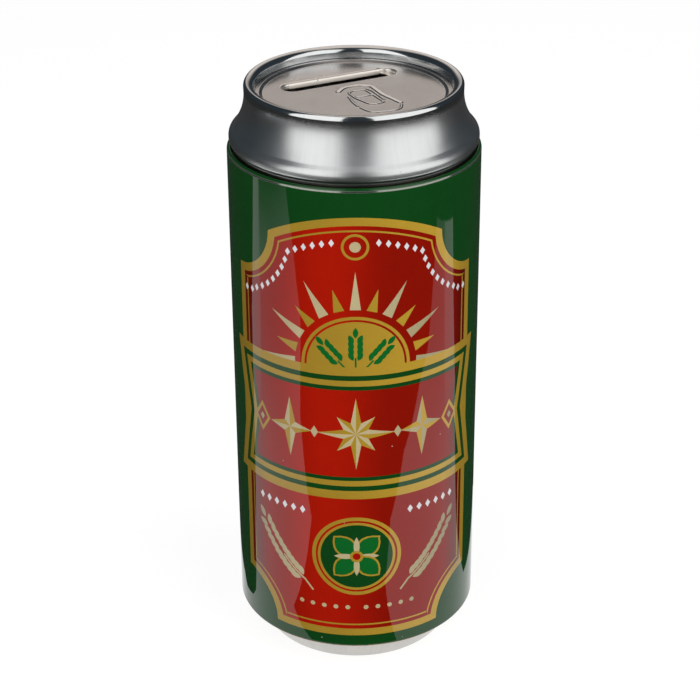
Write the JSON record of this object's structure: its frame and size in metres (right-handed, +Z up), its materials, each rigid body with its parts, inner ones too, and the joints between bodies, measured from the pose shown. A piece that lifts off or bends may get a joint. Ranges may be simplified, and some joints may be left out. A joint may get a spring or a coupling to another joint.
{
  "type": "can-shaped coin bank",
  "caption": "Coin bank of pressed tinplate in the shape of a tall drinks can, with a lift-off lid that has a coin slot.",
  "frame": {"origin": "on the can's axis, in the plane of the flat ring that the bank stands on", "axes": "+Z up along the can's axis; -Y towards the front of the printed sleeve; the sleeve's lock seam is at +Y"},
  "size_m": [0.069, 0.069, 0.168],
  "materials": {
    "printed_tinplate": "gloss lacquer over print",
    "base_tinplate": "satin",
    "shoulder_tinplate": "bright, drawn",
    "panel_tinplate": "satin"
  },
  "bodies": {
    "can": {"printed_sleeve": "printed_tinplate", "base_cup": "base_tinplate"},
    "lid": {"lid_shoulder": "shoulder_tinplate", "lid_panel": "panel_tinplate"}
  },
  "joints": [
    {"name": "lid_lift", "type": "slide", "parent": "can", "child": "lid", "axis": [0, 0, 1], "range_m": [0, 0.07]}
  ]
}
